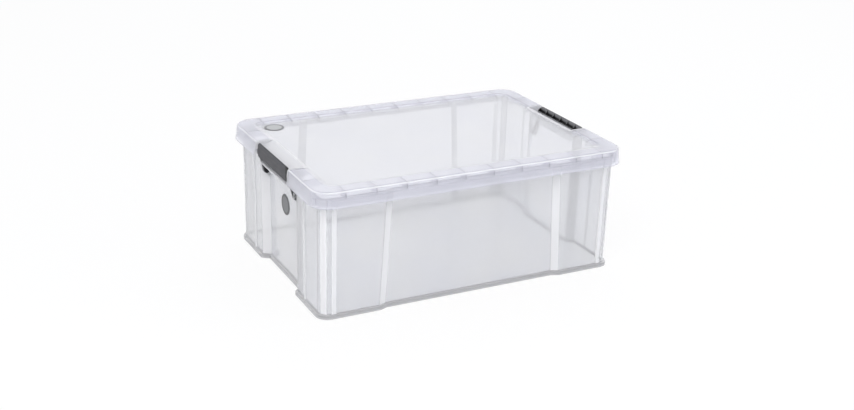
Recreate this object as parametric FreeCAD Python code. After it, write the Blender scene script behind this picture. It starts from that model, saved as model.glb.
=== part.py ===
import FreeCAD, Part
import math
import os

from FreeCAD import Vector

# A translucent storage box: an open tub, a lift-off lid with a raised rim, and two clip handles that
# turn on pins in lugs at the ends of the tub. Millimetres, +Z up, origin under the middle of the tub.

# Overall sizes
lid_length = 660.0            # along X, over the lid's top edge
lid_width = 462.0             # along Y, over the lid's top edge
box_height = 255.0            # floor to the top of the lid's rim

# Lid
lid_corner = 36.0             # corner radius at the top edge
lid_shell = 2.4               # wall of the lid
skirt_height = 31.0           # skirt below the rim's top
skirt_flare = 3.5             # how far the skirt's foot stands out past the top edge
rim_width = 30.0              # flat of the rim, from the top edge to where the middle starts to sink
rim_round = 5.0               # rounding of the rim's outer edge
tray_depth = 3.5              # flat middle below the rim's top
tray_lean = 13.0              # run of the slope from the rim down to the flat middle
tray_corner = 12.0            # corner radius of the flat middle
stiffener_pitch = 61.0        # ribs across the hollow rim
stiffener_wall = 2.0

# Tub
tub_inset = 12.5              # tub wall inside the lid's top edge, at the tub's rim
wall_lean = 1.0               # how far the foot of the wall stands in
tub_wall = 2.5
tub_corner = 20.0             # corner radius of the tub
step_round = 4.0              # rounding where the wall steps in
floor_wall = 3.0
floor_lift = 3.0              # underside of the floor above the ground
rim_plate = 2.5
lip_rise = 3.0                # foot of the rim's down-turned lip above the skirt's
rim_lip_wall = 2.2
rim_clearance = 2.5           # tub's rim to the inside of the lid's skirt
base_out = 5.0                # base flange past the wall
base_height = 8.0
base_round = 2.5
base_wall = 6.0               # width of the foot ring that the tub stands on

# Recessed middles of the tub's walls
long_recess = 6.0             # depth on the long walls
long_recess_top = 172.0       # half length at the rim
long_recess_foot = 184.0      # half length at the floor
long_step = 15.0              # run of the step along the wall
short_step = 10.0             # run of the step on the end walls
recess_room = 4.5             # end wall's recess behind the clip's eyes

# Upright ribs on the tub's corner posts
rib_height = 2.0
rib_chamfer = 2.5
long_rib_width = 12.0         # beside the rounded corner
end_rib_width = 9.0
end_rib_offset = 136.0        # from the middle of the end wall

# Clip handles
clip_half = 83.0              # half length of the bar
clip_plate = 3.0
clip_inset = 2.0              # bar's face inside the lid's top edge
clip_drop = 0.5               # top of the bar below the rim's top
clip_corner = 9.0
clip_foot_corner = 4.0
clip_round = 2.0
clip_gusset_count = 7
clip_gusset_wall = 1.8
hook_reach = 6.5              # hook past the bar's inner face
hook_height = 2.3             # upright nose of the hook
hook_drop = 11.0              # nose below the top of the bar
hook_slope = 60.0             # degrees, underside of the hook
hook_gap = 0.4                # hook to the lid's catch
catch_height = 1.7            # lid's catch under the hook
arm_wall = 7.5
arm_set_back = 1.5            # arm's inner face outside the hook's nose
eye_radius = 5.0
pivot_inset = 5.5             # pivot inside the end wall's face
pivot_drop = 29.0             # pivot below the skirt
pin_radius = 4.2
pin_clearance = 0.05
pin_end = 1.0                 # pin past its lug
lug_wall = 4.0
lug_gap = 1.0                 # arm to lug
lug_radius = 6.5
notch_gap = 2.5               # bar's end to the lid's notch
ramp_step = 1.0               # foot of the lid's ramp above the hook's nose
ramp_reach = 37.5             # lid's end to where the ramp is as high as the rim
apron_gap = 0.9               # hook to the tub's edge behind it
apron_wall = 2.2
apron_side = 2.5              # apron's end to the arm
apron_drop = 5.0              # apron's foot below the skirt
apron_strip = 2.4             # thickness of the strip along the apron's foot
strip_past_bar = 0.5          # strip past the bar's face

# Plain discs
lid_disc_radius = 20.0
lid_disc_inset = 67.0         # disc's middle from the lid's two edges
end_disc_radius = 21.0
end_disc_up = 149.0
disc_wall = 1.4
disc_seat = 0.6               # depth of the disc's seat
disc_clearance = 0.3
disc_round = 0.4

# Shared by all cuts
cut_room = 20.0               # how far cutting shapes run past what they cut
least_radius = 0.5            # smallest corner radius left by an inset

# Heights and half sizes that follow
half_length = lid_length / 2
half_width = lid_width / 2
skirt_z = box_height - skirt_height
tray_z = box_height - tray_depth
floor_z = floor_lift + floor_wall
wall_x = half_length - tub_inset
wall_y = half_width - tub_inset
pivot_x = wall_x - pivot_inset
pivot_z = skirt_z - pivot_drop
clip_face = half_length - clip_inset
clip_back = clip_face - clip_plate
clip_top = box_height - clip_drop
nose_x = clip_back - hook_reach
nose_top = clip_top - hook_drop
nose_foot = nose_top - hook_height
rim_z = nose_foot - catch_height
rim_under = rim_z - rim_plate
crest_x = half_length - ramp_reach
notch_half = clip_half + notch_gap
arm_outer = clip_half
arm_inner = clip_half - arm_wall
arm_back = nose_x + arm_set_back
lug_inner = arm_outer + lug_gap
lug_outer = lug_inner + lug_wall
apron_x = nose_x - apron_gap
short_recess = pivot_inset + eye_radius + recess_room
short_recess_half = lug_outer - lug_wall / 2


def offset_outline(points, distance):
    """The outline moved outwards by a distance, edge by edge. Points run anticlockwise."""
    moved = []
    count = len(points)
    for i, (x, y) in enumerate(points):
        normals = []
        for (ax, ay), (bx, by) in ((points[i - 1], (x, y)), ((x, y), points[(i + 1) % count])):
            length = math.hypot(bx - ax, by - ay)
            normals.append(((by - ay) / length, (ax - bx) / length))
        (nx, ny), (mx, my) = normals
        scale = distance / (1 + nx * mx + ny * my)
        moved.append((x + (nx + mx) * scale, y + (ny + my) * scale))
    return moved


def offset_radii(points, radii, distance):
    """Corner radii after the same move: outer corners grow and inner corners shrink."""
    changed = []
    count = len(points)
    for i, radius in enumerate(radii):
        (ax, ay), (x, y), (bx, by) = points[i - 1], points[i], points[(i + 1) % count]
        turn = (x - ax) * (by - y) - (y - ay) * (bx - x)
        changed.append(max(radius + math.copysign(1, turn) * distance, least_radius))
    return changed


def outline_wire(points, radii, z):
    """A closed wire of straight runs joined by arcs."""
    count = len(points)
    starts, middles, ends = [], [], []
    for i, radius in enumerate(radii):
        corner = Vector(points[i][0], points[i][1], z)
        back = (Vector(points[i - 1][0], points[i - 1][1], z) - corner).normalize()
        ahead = (Vector(points[(i + 1) % count][0], points[(i + 1) % count][1], z) - corner).normalize()
        half = back.getAngle(ahead) / 2
        reach = radius / math.tan(half)
        middle_way = (back + ahead).normalize()
        starts.append(corner + back * reach)
        ends.append(corner + ahead * reach)
        middles.append(corner + middle_way * (radius / math.sin(half) - radius))
    edges = []
    for i in range(count):
        edges.append(Part.Arc(starts[i], middles[i], ends[i]).toShape())
        edges.append(Part.makeLine(ends[i], starts[(i + 1) % count]))
    return Part.Wire(edges)


def loft(foot, top):
    """A solid between two outlines, each given as (points, radii, z)."""
    return Part.makeLoft([outline_wire(*foot), outline_wire(*top)], True, True)


def rectangle(half_x, half_y):
    return [(half_x, -half_y), (half_x, half_y), (-half_x, half_y), (-half_x, -half_y)]


def rounded_block(half_x, half_y, corner, z0, z1, lean=0.0):
    """A rounded rectangle drawn upwards; its top stands in by lean, or out where lean is negative."""
    foot = (rectangle(half_x, half_y), [corner] * 4, z0)
    top = (rectangle(half_x - lean, half_y - lean), [corner - lean] * 4, z1)
    return loft(foot, top)


def box(x0, x1, y0, y1, z0, z1):
    return Part.makeBox(x1 - x0, y1 - y0, z1 - z0, Vector(x0, y0, z0))


def prism_xz(points, y0, y1):
    """A flat shape in the XZ plane drawn along Y."""
    corners = [Vector(x, y0, z) for x, z in points]
    face = Part.Face(Part.makePolygon(corners + corners[:1]))
    return face.extrude(Vector(0, y1 - y0, 0))


def rod_y(x, z, radius, y0, y1):
    return Part.makeCylinder(radius, y1 - y0, Vector(x, y0, z), Vector(0, 1, 0))


def edges_at(shape, z):
    """The edges that lie level at one height."""
    tolerance = 0.001
    return [edge for edge in shape.Edges
            if all(abs(value - z) < tolerance for value in (edge.BoundBox.ZMin, edge.BoundBox.ZMax))]


def mirror_x(shape):
    return shape.mirror(Vector(0, 0, 0), Vector(1, 0, 0))


def mirror_y(shape):
    return shape.mirror(Vector(0, 0, 0), Vector(0, 1, 0))


def both_ends(shape):
    return [shape, mirror_x(shape)]


def all_quarters(shape):
    pair = [shape, mirror_y(shape)]
    return pair + [mirror_x(each) for each in pair]


def lean_at(z):
    """How far the tub's wall stands in at a height."""
    return wall_lean * (1 - z / rim_under)


def long_recess_at(z):
    return long_recess_foot + (long_recess_top - long_recess_foot) * z / rim_under


def tub_outline(z, distance):
    """The tub's stepped outline at a height, moved outwards by a distance."""
    x = wall_x - lean_at(z)
    y = wall_y - lean_at(z)
    deep_x = x - short_recess
    deep_y = y - long_recess
    near = long_recess_at(z)
    far = near + long_step
    low = short_recess_half
    high = low + short_step
    end = [(x, -y), (x, -high), (deep_x, -low), (deep_x, low), (x, high)]
    side = [(x, y), (far, y), (near, deep_y), (-near, deep_y), (-far, y)]
    points = end + side + [(-px, -py) for px, py in end + side]
    radii = ([tub_corner] + [step_round] * 4) * 4
    return offset_outline(points, distance), offset_radii(points, radii, distance), z


def upright_rib(side_run):
    """A rib up the wall between two heights; side_run gives its foot line at a height."""
    wires = []
    for z in (base_height, rim_under):
        corners = [Vector(x, y, z) for x, y in side_run(z)]
        wires.append(Part.makePolygon(corners + corners[:1]))
    return Part.makeLoft(wires, True, True)


def long_wall_rib(z):
    face = -(wall_y - lean_at(z))
    outer = wall_x - tub_corner
    inner = outer - long_rib_width
    root = face + tub_wall / 2
    crest = face - rib_height
    return [(inner, root), (outer, root), (outer - rib_chamfer, crest), (inner + rib_chamfer, crest)]


def end_wall_rib(z):
    face = wall_x - lean_at(z)
    low = -end_rib_offset - end_rib_width / 2
    high = low + end_rib_width
    root = face - tub_wall / 2
    crest = face + rib_height
    return [(root, low), (crest, low + rib_chamfer), (crest, high - rib_chamfer), (root, high)]


def catch_line(z):
    """The lid's sloped catch under the hook, as X at a height."""
    run = 1 / math.tan(math.radians(hook_slope))
    side_gap = hook_gap / math.sin(math.radians(hook_slope))
    return nose_x - side_gap + (nose_foot - z) * run


def make_tub():
    shell = loft(tub_outline(0, 0), tub_outline(rim_under, 0))
    foot_points, foot_radii, _ = tub_outline(0, base_out)
    base = loft((foot_points, foot_radii, 0), (foot_points, foot_radii, base_height))
    base = base.makeFillet(base_round, edges_at(base, base_height))

    skirt_inside = half_length + skirt_flare * (box_height - rim_z) / skirt_height - lid_shell
    rim_x = skirt_inside - rim_clearance
    rim_y = rim_x - (half_length - half_width)
    rim_corner = lid_corner - (half_length - rim_x)
    lip_foot = skirt_z + lip_rise
    rim = rounded_block(rim_x, rim_y, rim_corner, lip_foot, rim_z)
    rim_hollow = rounded_block(rim_x - rim_lip_wall, rim_y - rim_lip_wall, rim_corner - rim_lip_wall,
                               lip_foot - cut_room, rim_under)
    rim = rim.cut(rim_hollow)
    clip_room = box(apron_x, rim_x + cut_room, -lug_outer - lug_gap, lug_outer + lug_gap,
                    lip_foot - cut_room, rim_z + cut_room)
    rim = rim.cut(Part.makeCompound(both_ends(clip_room)))

    apron_half = arm_inner - apron_side
    apron_foot = skirt_z - apron_drop
    apron = box(apron_x - apron_wall, apron_x, -apron_half, apron_half, apron_foot, rim_under)
    strip = box(apron_x - apron_wall, clip_face + strip_past_bar, -apron_half, apron_half,
                apron_foot - apron_strip, apron_foot)

    panel_face = wall_x - short_recess
    lug_root = panel_face - tub_wall
    lug_plate = prism_xz([(lug_root, rim_under), (lug_root, pivot_z - lug_radius - short_recess),
                          (pivot_x, pivot_z - lug_radius), (pivot_x + lug_radius, pivot_z),
                          (apron_x, rim_under)], -lug_outer, -lug_inner)
    lug = lug_plate.fuse(rod_y(pivot_x, pivot_z, lug_radius, -lug_outer, -lug_inner))

    ribs = all_quarters(upright_rib(long_wall_rib)) + all_quarters(upright_rib(end_wall_rib))
    added = [base, rim] + both_ends(apron) + both_ends(strip) + all_quarters(lug) + ribs
    tub = shell.fuse(added)

    inside = loft(tub_outline(floor_z, -tub_wall), tub_outline(rim_under, -tub_wall))
    top_points, top_radii, _ = tub_outline(rim_under, -tub_wall)
    mouth = loft((top_points, top_radii, rim_under), (top_points, top_radii, rim_z + cut_room))
    under_points, under_radii, _ = tub_outline(0, base_out - base_wall)
    underside = loft((under_points, under_radii, -cut_room), (under_points, under_radii, floor_lift))
    pin_holes = []
    for x in (-pivot_x, pivot_x):
        for y in (-lug_outer, lug_inner):
            pin_holes.append(rod_y(x, pivot_z, pin_radius + pin_clearance, y, y + lug_wall))
    disc_room = Part.makeCylinder(end_disc_radius + disc_clearance, cut_room,
                                  Vector(-end_disc_seat(), 0, end_disc_up), Vector(-1, 0, 0))
    tub = tub.cut([inside, mouth, underside, disc_room] + pin_holes)
    return tub.removeSplitter()


def end_disc_seat():
    """X of the flat seat of the end wall's disc."""
    return wall_x - short_recess - lean_at(end_disc_up - end_disc_radius) - disc_seat


def tray_block(drop):
    """The room over the lid's sunken middle, with its slope moved down by a distance."""
    half_x = half_length - rim_width - tray_lean
    half_y = half_width - rim_width - tray_lean
    rise = tray_depth + drop
    return rounded_block(half_x, half_y, tray_corner, box_height - rise, box_height,
                         -tray_lean * rise / tray_depth)


def notch_block(grow):
    """The room that the clip's bar takes out of the lid's end, larger by a wall's thickness."""
    ramp_foot = nose_top + ramp_step
    back = nose_x - hook_gap - grow
    points = [(catch_line(rim_z) - grow, skirt_z - cut_room),
              (catch_line(rim_z) - grow, rim_z),
              (back, nose_foot),
              (back, ramp_foot - grow),
              (crest_x - grow, box_height - grow),
              (crest_x - grow, box_height + cut_room),
              (half_length + cut_room, box_height + cut_room),
              (half_length + cut_room, skirt_z - cut_room)]
    return prism_xz(points, -notch_half - grow, notch_half + grow)


def make_lid():
    outer = rounded_block(half_length + skirt_flare, half_width + skirt_flare, lid_corner + skirt_flare,
                          skirt_z, box_height, skirt_flare)
    outer = outer.makeFillet(rim_round, edges_at(outer, box_height))
    foot_half = half_length + skirt_flare - lid_shell
    foot_half_y = half_width + skirt_flare - lid_shell
    ceiling = box_height - lid_shell
    hollow = rounded_block(foot_half, foot_half_y, lid_corner + skirt_flare - lid_shell,
                           skirt_z, ceiling, skirt_flare)
    hollow = hollow.makeFillet(rim_round - lid_shell, edges_at(hollow, ceiling))

    walls = both_ends(notch_block(lid_shell))
    lid = outer.cut(hollow.cut(walls))
    pan = tray_block(lid_shell)

    stiffeners = []
    inner_y = half_width - rim_width - tray_lean
    inner_x = half_length - rim_width - tray_lean
    outer_y = half_width - lid_shell / 2
    outer_x = half_length - lid_shell / 2
    along = [(i + 0.5) * stiffener_pitch for i in range(int(half_length / stiffener_pitch) + 1)]
    for x in along:
        if x < half_length - lid_corner:
            stiffeners.append(box(x - stiffener_wall / 2, x + stiffener_wall / 2,
                                  -outer_y, -inner_y, rim_z, ceiling))
    for y in along:
        if notch_half + lid_shell < y < half_width - lid_corner:
            stiffeners.append(box(inner_x, outer_x, y - stiffener_wall / 2, y + stiffener_wall / 2,
                                  rim_z, ceiling))
    ribs = [each for stiffener in stiffeners for each in all_quarters(stiffener)]
    lid = lid.fuse([pan] + ribs)
    seat_x, seat_y = lid_disc_place()
    disc_room = Part.makeCylinder(lid_disc_radius + disc_clearance, cut_room,
                                  Vector(seat_x, seat_y, tray_z - disc_seat))
    seat_room = box(crest_x - lid_shell, half_length + cut_room, -notch_half - lid_shell,
                    notch_half + lid_shell, skirt_z - cut_room, rim_z)
    rooms = [tray_block(0), disc_room] + both_ends(notch_block(0)) + both_ends(seat_room)
    return lid.cut(rooms).removeSplitter()


def lid_disc_place():
    return lid_disc_inset - half_length, half_width - lid_disc_inset


def disc(radius, place, axis):
    shape = Part.makeCylinder(radius, disc_wall, place, axis)
    rim = [edge for edge in shape.Edges if edge.Closed]
    face = [edge for edge in rim if (edge.CenterOfMass - place).dot(axis) > disc_wall / 2]
    return shape.makeFillet(disc_round, face)


def make_lid_disc():
    x, y = lid_disc_place()
    return disc(lid_disc_radius, Vector(x, y, tray_z - disc_seat), Vector(0, 0, 1))


def make_end_disc():
    return disc(end_disc_radius, Vector(-end_disc_seat(), 0, end_disc_up), Vector(-1, 0, 0))


def bar_block(x0, x1):
    """The outline of the clip's bar, drawn from one X to another."""
    points = [(clip_half, skirt_z), (clip_half, clip_top), (-clip_half, clip_top), (-clip_half, skirt_z)]
    radii = [clip_foot_corner, clip_corner, clip_corner, clip_foot_corner]
    block = Part.Face(outline_wire(points, radii, 0)).extrude(Vector(0, 0, x1 - x0))
    turn = FreeCAD.Rotation(Vector(0, 1, 0), Vector(0, 0, 1), Vector(1, 0, 0))
    block.Placement = FreeCAD.Placement(Vector(x0, 0, 0), turn)
    return block


def make_clip():
    """The clip handle at the +X end, closed."""
    plate = bar_block(clip_back, clip_face)
    middle = (clip_back + clip_face) / 2
    plate = plate.makeFillet(clip_round, [edge for edge in plate.Edges if edge.BoundBox.XMin > middle])

    slope = math.tan(math.radians(hook_slope))
    hook_root = nose_foot - hook_reach * slope
    hook = prism_xz([(clip_back, hook_root), (clip_back, nose_top), (nose_x, nose_top), (nose_x, nose_foot)],
                    -clip_half, clip_half)
    gussets = []
    gusset_pitch = (2 * clip_half - clip_gusset_wall) / (clip_gusset_count - 1)
    for i in range(clip_gusset_count):
        y = i * gusset_pitch - clip_half
        gussets.append(prism_xz([(clip_back, clip_top), (clip_back, nose_top), (nose_x, nose_top)],
                                y, y + clip_gusset_wall))
    hook = hook.fuse(gussets).common(bar_block(nose_x, clip_back))

    arms = []
    for y0 in (-arm_outer, arm_inner):
        bar_end = [(clip_back, skirt_z), (clip_back, nose_foot), (arm_back, nose_foot), (arm_back, skirt_z)]
        eye_end = [(pivot_x - eye_radius, pivot_z), (pivot_x, pivot_z - eye_radius),
                   (pivot_x + eye_radius, pivot_z)]
        arms.append(prism_xz(bar_end + eye_end, y0, y0 + arm_wall))
        arms.append(rod_y(pivot_x, pivot_z, eye_radius, y0, y0 + arm_wall))
    pin_length = lug_gap + lug_wall + pin_end
    for y0 in (-arm_outer - pin_length, arm_outer):
        arms.append(rod_y(pivot_x, pivot_z, pin_radius, y0, y0 + pin_length))
    return plate.fuse([hook] + arms).removeSplitter()


os.makedirs("parts", exist_ok=True)
clip_shape = make_clip()
parts = {
    "tub": make_tub(),
    "lid": make_lid(),
    "left_clip": mirror_x(clip_shape),
    "right_clip": clip_shape,
    "lid_disc": make_lid_disc(),
    "end_disc": make_end_disc(),
}
for name, shape in parts.items():
    shape.exportStep("parts/" + name + ".step")
    print(name, "solids", len(shape.Solids), "volume", round(shape.Volume), "valid", shape.isValid())
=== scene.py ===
import math

import bpy
from mathutils import Matrix, Vector

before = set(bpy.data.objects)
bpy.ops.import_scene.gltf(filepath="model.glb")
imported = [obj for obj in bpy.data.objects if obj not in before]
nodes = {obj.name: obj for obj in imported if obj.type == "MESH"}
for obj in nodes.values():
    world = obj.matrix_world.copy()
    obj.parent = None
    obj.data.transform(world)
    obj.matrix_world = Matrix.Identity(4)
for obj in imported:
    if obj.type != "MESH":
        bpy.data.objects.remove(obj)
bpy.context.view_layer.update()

# Camera, fitted to the box's edges in the photograph
image_width = 854                 # pixels
focal_pixels = 1260.37
camera_azimuth = math.radians(-27.512)
camera_elevation = math.radians(21.642)
camera_roll = math.radians(1.775)
camera_distance = 2.64486         # metres from the origin along the view
camera_aside = 0.010738           # metres across the view
camera_above = 0.094145           # metres up the view
sensor_width = 36.0               # millimetres

# Stage
white_colour = (1, 1, 1, 1)
floor_size = 60.0
floor_colour = (0.86, 0.86, 0.87, 1)
floor_white_share = 0.9           # how much of the floor shows as plain white
floor_white_through = 0.65        # the same, seen through the plastic
world_colour = (0.93, 0.95, 1.0, 1)
world_strength = 0.75
lamp_aim = (0, 0, 0.12)
lamps = [
    # name, place, size, watts, colour
    ("key", (-1.3, -1.6, 2.3), 1.6, 42, (1.0, 0.985, 0.96)),
    ("fill", (2.2, -1.2, 1.5), 1.8, 14, (0.95, 0.97, 1.0)),
    ("back", (1.6, 2.0, 2.8), 2.2, 26, (0.97, 0.98, 1.0)),
]

# Places of the zones, in metres
tub_half_length = 0.3175          # middle of the box to the tub's end wall
tub_half_width = 0.2185
tub_corner = 0.02
rib_stand = 0.001                 # ribs start this far outside the wall
rib_foot = 0.009
rib_top = 0.222
base_top = 0.0085                 # just over the base flange
floor_top = 0.0062                # just over the tub's floor
lid_flat_length = 0.294           # middle of the box to the middle of the slope inside the lid's rim
lid_flat_width = 0.195
lid_fade = 0.006
notch_back = 0.2898               # the lid's clip notches, with their walls
notch_half = 0.0882
clip_half = 0.083
clip_back = 0.3252                # just past the inner face of the clip's bar
clip_end_shadow_width = 0.014                 # painted shadow across the bar at one end, this wide from its end
clip_pocket = 0.008               # how far around a point the open room is felt, for the painted shade in pockets
clip_inner_shade_heights = (0.2455, 0.2495)      # heights between which the bar's inner face turns from painted shade to painted light

# Patterns: scale, detail, roughness, and stretch along X, Y and Z
even = (1, 1, 1)
haze_pattern = (9.0, 4.0, 0.55, even)
flow_pattern = (26.0, 3.0, 0.6, (0.35, 0.35, 2.2))
wave_pattern = (14.0, 2.0, 0.4, even)
scuff_pattern = (300.0, 3.0, 0.7, (1.0, 0.06, 0.3))
clip_pattern = (40.0, 3.0, 0.5, even)
clip_grain_pattern = (1500.0, 2.0, 0.5, even)
rub_pattern = (220.0, 4.0, 0.7, (1.0, 0.2, 1.0))
disc_pattern = (60.0, 3.0, 0.5, even)
disc_grain_pattern = (1800.0, 2.0, 0.5, even)

# Where a pattern, a bend of the face or a pocket starts to count, and where it counts in full
haze_span = (0.35, 0.7)
flow_span = (0.3, 0.72)
scuff_span = (0.62, 0.75)
level_span = (0.3, 0.48)
slant_span = (0.08, 0.32)
ridge_span = (0.34, 0.44)
rub_span = (0.55, 0.75)
clip_rough_span = (0.35, 0.7)
pocket_span = (0.85, 0.45)        # open room around a point where painted pocket shade starts, and where it is full
disc_rough_span = (0.3, 0.7)
disc_field_span = (0.8, 0.74)     # shares of the disc's radius
edge_highlight_share = 0.7                 # how far a level edge is painted as a pale, less clear highlight at most
upright_limit = 0.5               # faces that look up or down less than this are upright
rub_share = 0.35                  # how much of the rubbed tone shows at most

# Gloss and bumps
clear_ior = 1.49
scuff_rough = 0.06                # how much rougher the plastic is where it is scuffed
clip_gloss = 0.3
clip_rough = (0.45, 0.62)
disc_gloss = 0.35
disc_rough = (0.3, 0.45)
wave_bump = (0.05, 0.001)         # strength, and depth in metres
clip_bump = (0.25, 0.0003)
disc_bump = (0.15, 0.0002)
pocket_samples = 8

# Colours
tub_look = {
    "tint": (0.92, 0.925, 0.955, 1), "haze": (0.95, 0.952, 0.965, 1), "clear": 0.82, "rough": (0.1, 0.14),
    # colour and see-through share of each zone
    # steps: painted highlights, paler and less clear, down the corners' middles, on slanted step faces and
    # along level edges
    "steps": ((0.94, 0.94, 0.955, 1), 0.36),
    "ribs": ((0.93, 0.93, 0.95, 1), 0.45),
    # flange: greyer, partly from the thick base's denser plastic and partly as painted shade
    "flange": ((0.52, 0.52, 0.53, 1), 0.38),
}
lid_look = {
    "tint": (0.928, 0.931, 0.97, 1), "haze": (0.955, 0.957, 0.98, 1), "clear": 0.77, "rough": (0.025, 0.05),
    "rim": ((0.912, 0.914, 0.978, 1), 0.74),
    # edges: painted highlights, paler and less clear, along level edges
    "edges": ((0.93, 0.93, 0.95, 1), 0.4),
    "notch": ((0.8, 0.8, 0.825, 1), 0.32),
}
clip_tones = ((0.053, 0.053, 0.06, 1), (0.07, 0.07, 0.078, 1))
clip_inner_shade_and_light = ((0.02, 0.02, 0.022, 1), (0.22, 0.22, 0.228, 1))     # painted shade below these heights and painted light above them
clip_rubbed = (0.13, 0.13, 0.135, 1)
# near-black, for the painted shade in pockets and the painted shadow at one end
clip_shadow_black = (0.01, 0.01, 0.011, 1)
disc_looks = {
    # colour of the rim, and two tones of the field
    "lid_disc": ((0.18, 0.183, 0.19, 1), (0.38, 0.384, 0.39, 1), (0.46, 0.464, 0.47, 1)),
    "end_disc": ((0.065, 0.067, 0.072, 1), (0.14, 0.142, 0.148, 1), (0.2, 0.203, 0.21, 1)),
}


class Graph:
    """The nodes of a material or a world, added and joined by name."""

    def __init__(self, owner):
        self.owner = owner
        owner.use_nodes = True
        self.tree = owner.node_tree
        self.tree.nodes.clear()

    def add(self, kind, **values):
        node = self.tree.nodes.new(kind)
        for key, value in values.items():
            if hasattr(node, key):
                setattr(node, key, value)
            else:
                self.feed(node.inputs[key.replace("_", " ")], value)
        return node

    def feed(self, socket, value):
        if isinstance(value, bpy.types.NodeSocket):
            self.tree.links.new(value, socket)
        else:
            socket.default_value = value

    def finish(self, shader, output="ShaderNodeOutputMaterial"):
        self.add(output, Surface=shader.outputs[0])
        return self.owner

    def place(self):
        return self.add("ShaderNodeTexCoord").outputs["Object"]

    def sizes(self, kind):
        """A coordinate's three parts, without their signs."""
        parts = self.add("ShaderNodeSeparateXYZ", Vector=self.add("ShaderNodeTexCoord").outputs[kind])
        return [self.math("ABSOLUTE", part) for part in parts.outputs]

    def noise(self, pattern):
        scale, detail, roughness, stretch = pattern
        mapping = self.add("ShaderNodeMapping", Vector=self.place(), Scale=stretch)
        texture = self.add("ShaderNodeTexNoise", Vector=mapping.outputs["Vector"], Scale=scale,
                           Detail=detail, Roughness=roughness)
        return texture.outputs["Fac"]

    def math(self, operation, first, second=0.0):
        node = self.add("ShaderNodeMath", operation=operation)
        self.feed(node.inputs[0], first)
        self.feed(node.inputs[1], second)
        return node.outputs[0]

    def over(self, value, limit):
        return self.math("GREATER_THAN", value, limit)

    def under(self, value, limit):
        return self.math("LESS_THAN", value, limit)

    def without(self, mask):
        return self.math("SUBTRACT", 1.0, mask)

    def either(self, first, second):
        """Where one of these masks holds, or the stronger of the two."""
        return self.math("MAXIMUM", first, second)

    def all_of(self, first, *others):
        """Where all of these masks hold."""
        for other in others:
            first = self.math("MULTIPLY", first, other)
        return first

    def ramp(self, value, span, results=(0.0, 1.0)):
        """One result below a span of values, the other above it, and an even change between."""
        node = self.add("ShaderNodeMapRange", Value=value)
        for name, item in zip(("From Min", "From Max", "To Min", "To Max"), (*span, *results)):
            self.feed(node.inputs[name], item)
        return node.outputs["Result"]

    def blend(self, factor, first, second):
        node = self.add("ShaderNodeMix", data_type="RGBA")
        self.feed(node.inputs[0], factor)
        self.feed(node.inputs[6], first)
        self.feed(node.inputs[7], second)
        return node.outputs[2]

    def bump(self, height, size):
        strength, depth = size
        return self.add("ShaderNodeBump", Height=height, Strength=strength, Distance=depth).outputs["Normal"]

    def plastic(self, colour, rough, normal, **settings):
        """The finished material of a moulding, with its own settings."""
        return self.finish(self.add("ShaderNodeBsdfPrincipled", Base_Color=colour, Roughness=rough,
                                    Normal=normal, **settings))

    def mix(self, share, first, second):
        node = self.add("ShaderNodeMixShader")
        self.feed(node.inputs[0], share)
        self.feed(node.inputs[1], first.outputs[0])
        self.feed(node.inputs[2], second.outputs[0])
        return node


def bends(graph):
    """How far the moulding's face turns away from its flat walls: round corners, and level edges."""
    x, y, z = graph.sizes("Normal")
    level = graph.math("MULTIPLY", z, graph.math("MAXIMUM", x, y))
    return graph.math("MULTIPLY", x, y), graph.ramp(level, level_span, (0.0, edge_highlight_share))


def lid_zones(graph):
    """The lid's level edges as painted highlights, its milky clip notches, and its denser rim and skirt."""
    level = bends(graph)[1]
    x, y = graph.sizes("Object")[:2]
    rim = graph.either(graph.ramp(x, (lid_flat_length - lid_fade, lid_flat_length + lid_fade)),
                       graph.ramp(y, (lid_flat_width - lid_fade, lid_flat_width + lid_fade)))
    notch = graph.all_of(graph.over(x, notch_back), graph.under(y, notch_half))
    return {"rim": rim, "edges": level, "notch": notch}


def tub_zones(graph):
    """The tub's steps, level edges and lines down its corners as painted highlights, its milky ribs, and its
    base flange, greyer from denser plastic and from painted shade.
    """
    corner, level = bends(graph)
    x, y, z = graph.sizes("Object")
    corner_zone = graph.all_of(graph.over(x, tub_half_length - tub_corner),
                               graph.over(y, tub_half_width - tub_corner))
    # Painted highlights: lines down the middle of the rounded corners, and bands on slanted step faces.
    turned = graph.math("ADD", graph.all_of(corner_zone, graph.ramp(corner, ridge_span)),
                        graph.all_of(graph.without(corner_zone), graph.ramp(corner, slant_span)))
    proud = graph.either(graph.over(x, tub_half_length + rib_stand),
                         graph.over(y, tub_half_width + rib_stand))
    ribs = graph.all_of(proud, graph.over(z, rib_foot), graph.under(z, rib_top))
    upright = graph.under(graph.sizes("Normal")[2], upright_limit)
    # Base flange: denser plastic, and greyer as painted shade.
    flange = graph.all_of(graph.under(z, base_top), graph.either(upright, graph.over(z, floor_top)))
    return {"steps": graph.either(turned, level), "ribs": ribs, "flange": flange}


def clear_plastic(name, zones, look):
    """See-through moulding with a light haze; some zones are milkier and denser than the rest, some paler as
    painted highlights, and some greyer as painted shade.
    """
    graph = Graph(bpy.data.materials.new(name))
    colour = graph.blend(graph.ramp(graph.noise(haze_pattern), haze_span), look["tint"], look["haze"])
    through = look["clear"]
    for zone, mask in zones(graph).items():
        zone_colour, zone_through = look[zone]
        colour = graph.blend(mask, colour, zone_colour)
        through = graph.ramp(mask, (0.0, 1.0), (through, zone_through))
    worn = graph.ramp(graph.noise(scuff_pattern), scuff_span, (0.0, scuff_rough))
    rough = graph.math("ADD", graph.ramp(graph.noise(flow_pattern), flow_span, look["rough"]), worn)
    normal = graph.bump(graph.noise(wave_pattern), wave_bump)
    return graph.plastic(colour, rough, normal, Transmission_Weight=through, IOR=clear_ior)


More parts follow.
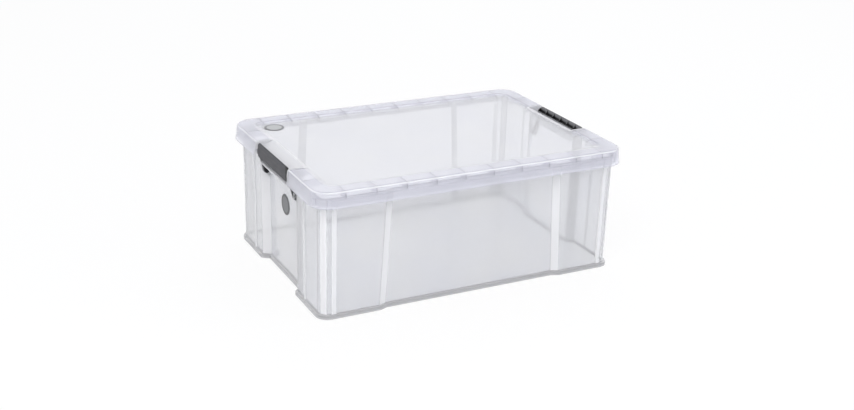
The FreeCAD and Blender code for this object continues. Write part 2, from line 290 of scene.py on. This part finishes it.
def clip_plastic():
    """Dark moulded handle with a fine grain and rubbed faces, with painted shade in its pockets, a painted
    shadow across one end, and painted shade and light on the bar's inner face.
    """
    graph = Graph(bpy.data.materials.new("clip_plastic"))
    rub = graph.noise(rub_pattern)
    x, y, z = graph.sizes("Object")
    inside = graph.under(x, clip_back)
    outer = graph.blend(graph.noise(clip_pattern), *clip_tones)
    # The bar's inner face is painted: dark as shade low down, pale as light near its top.
    inner = graph.blend(graph.ramp(z, clip_inner_shade_heights), *clip_inner_shade_and_light)
    colour = graph.blend(graph.ramp(rub, rub_span, (0.0, rub_share)),
                         graph.blend(inside, outer, inner), clip_rubbed)
    # Painted shadow: one end of each bar's outer face goes near-black, where its end face lies in shade.
    signed = graph.add("ShaderNodeSeparateXYZ", Vector=graph.place()).outputs
    one_end = graph.over(graph.math("MULTIPLY", signed["X"], signed["Y"]), 0.0)
    end_shadow = graph.all_of(graph.over(y, clip_half - clip_end_shadow_width), one_end, graph.without(inside))
    # Painted shade: near-black where a point has little open room around it, in the bar's pockets.
    room = graph.add("ShaderNodeAmbientOcclusion", samples=pocket_samples, only_local=True,
                     Distance=clip_pocket)
    pocket_shade = graph.ramp(room.outputs["AO"], pocket_span)
    colour = graph.blend(graph.either(pocket_shade, end_shadow), colour, clip_shadow_black)
    rough = graph.ramp(rub, clip_rough_span, clip_rough)
    normal = graph.bump(graph.noise(clip_grain_pattern), clip_bump)
    return graph.plastic(colour, rough, normal, Specular_IOR_Level=clip_gloss)


def disc_plastic(node):
    """A plain disc with a darker rim around a paler field."""
    rim, *field_tones = disc_looks[node.name]
    corners = [Vector(corner) for corner in node.bound_box]
    middle = sum(corners, Vector()) / len(corners)
    radius = max(corner.y - middle.y for corner in corners)
    graph = Graph(bpy.data.materials.new(node.name + "_plastic"))
    cloud = graph.noise(disc_pattern)
    away = graph.add("ShaderNodeVectorMath", operation="DISTANCE")
    graph.feed(away.inputs[0], graph.place())
    graph.feed(away.inputs[1], middle)
    field = graph.ramp(away.outputs["Value"], [radius * share for share in disc_field_span])
    colour = graph.blend(field, rim, graph.blend(cloud, *field_tones))
    rough = graph.ramp(cloud, disc_rough_span, disc_rough)
    normal = graph.bump(graph.noise(disc_grain_pattern), disc_bump)
    return graph.plastic(colour, rough, normal, Specular_IOR_Level=disc_gloss)


def floor_material():
    """A pale floor that takes the box's shadow and otherwise shows as white."""
    graph = Graph(bpy.data.materials.new("floor_white"))
    path = graph.add("ShaderNodeLightPath").outputs
    seen = graph.either(path["Is Camera Ray"], path["Is Glossy Ray"])
    share = graph.either(graph.math("MULTIPLY", seen, floor_white_share),
                         graph.math("MULTIPLY", path["Is Transmission Ray"], floor_white_through))
    matte = graph.add("ShaderNodeBsdfDiffuse", Color=floor_colour)
    plain_white = graph.add("ShaderNodeEmission", Color=white_colour, Strength=1.0)
    return graph.finish(graph.mix(share, matte, plain_white))


def dress(node, material):
    node.data.materials.clear()
    node.data.materials.append(material)


def make_floor():
    half = floor_size / 2
    corners = [(-half, -half, 0), (half, -half, 0), (half, half, 0), (-half, half, 0)]
    mesh = bpy.data.meshes.new("floor")
    mesh.from_pydata(corners, [], [range(len(corners))])
    floor = bpy.data.objects.new("floor", mesh)
    bpy.context.scene.collection.objects.link(floor)
    mesh.materials.append(floor_material())


def make_world():
    """White to the eye and in gloss and see-through plastic; a soft even light on everything."""
    graph = Graph(bpy.data.worlds.new("studio"))
    path = graph.add("ShaderNodeLightPath").outputs
    seen = graph.either(path["Is Camera Ray"],
                        graph.either(path["Is Transmission Ray"], path["Is Glossy Ray"]))
    light = graph.add("ShaderNodeBackground", Color=world_colour, Strength=world_strength)
    plain_white = graph.add("ShaderNodeBackground", Color=white_colour, Strength=1.0)
    bpy.context.scene.world = graph.finish(graph.mix(seen, light, plain_white), "ShaderNodeOutputWorld")


def make_lamps():
    """Large soft lamps, which gloss doesn't show as hard patches."""
    for name, place, size, watts, colour in lamps:
        lamp = bpy.data.lights.new(name, "AREA")
        lamp.size = size
        lamp.energy = watts
        lamp.color = colour
        holder = bpy.data.objects.new(name, lamp)
        holder.location = place
        holder.rotation_euler = (Vector(lamp_aim) - Vector(place)).to_track_quat("-Z", "Y").to_euler()
        holder.visible_glossy = False
        bpy.context.scene.collection.objects.link(holder)


def make_camera():
    back = Vector((math.sin(camera_azimuth) * math.cos(camera_elevation),
                   -math.cos(camera_azimuth) * math.cos(camera_elevation),
                   math.sin(camera_elevation)))
    level = Vector((math.cos(camera_azimuth), math.sin(camera_azimuth), 0))
    upright = back.cross(level)
    right = level * math.cos(camera_roll) + upright * math.sin(camera_roll)
    up = upright * math.cos(camera_roll) - level * math.sin(camera_roll)
    camera = bpy.data.cameras.new("camera")
    camera.sensor_width = sensor_width
    camera.lens = focal_pixels * sensor_width / image_width
    holder = bpy.data.objects.new("camera", camera)
    place = back * camera_distance + right * camera_aside + up * camera_above
    holder.matrix_world = Matrix.Translation(place) @ Matrix((right, up, back)).transposed().to_4x4()
    bpy.context.scene.collection.objects.link(holder)
    bpy.context.scene.camera = holder


dress(nodes["tub"], clear_plastic("tub_plastic", tub_zones, tub_look))
dress(nodes["lid"], clear_plastic("lid_plastic", lid_zones, lid_look))
for name in ("left_clip", "right_clip"):
    dress(nodes[name], clip_plastic())
for name in disc_looks:
    dress(nodes[name], disc_plastic(nodes[name]))

make_floor()
make_world()
make_lamps()
make_camera()
bpy.context.scene.view_settings.view_transform = "Standard"
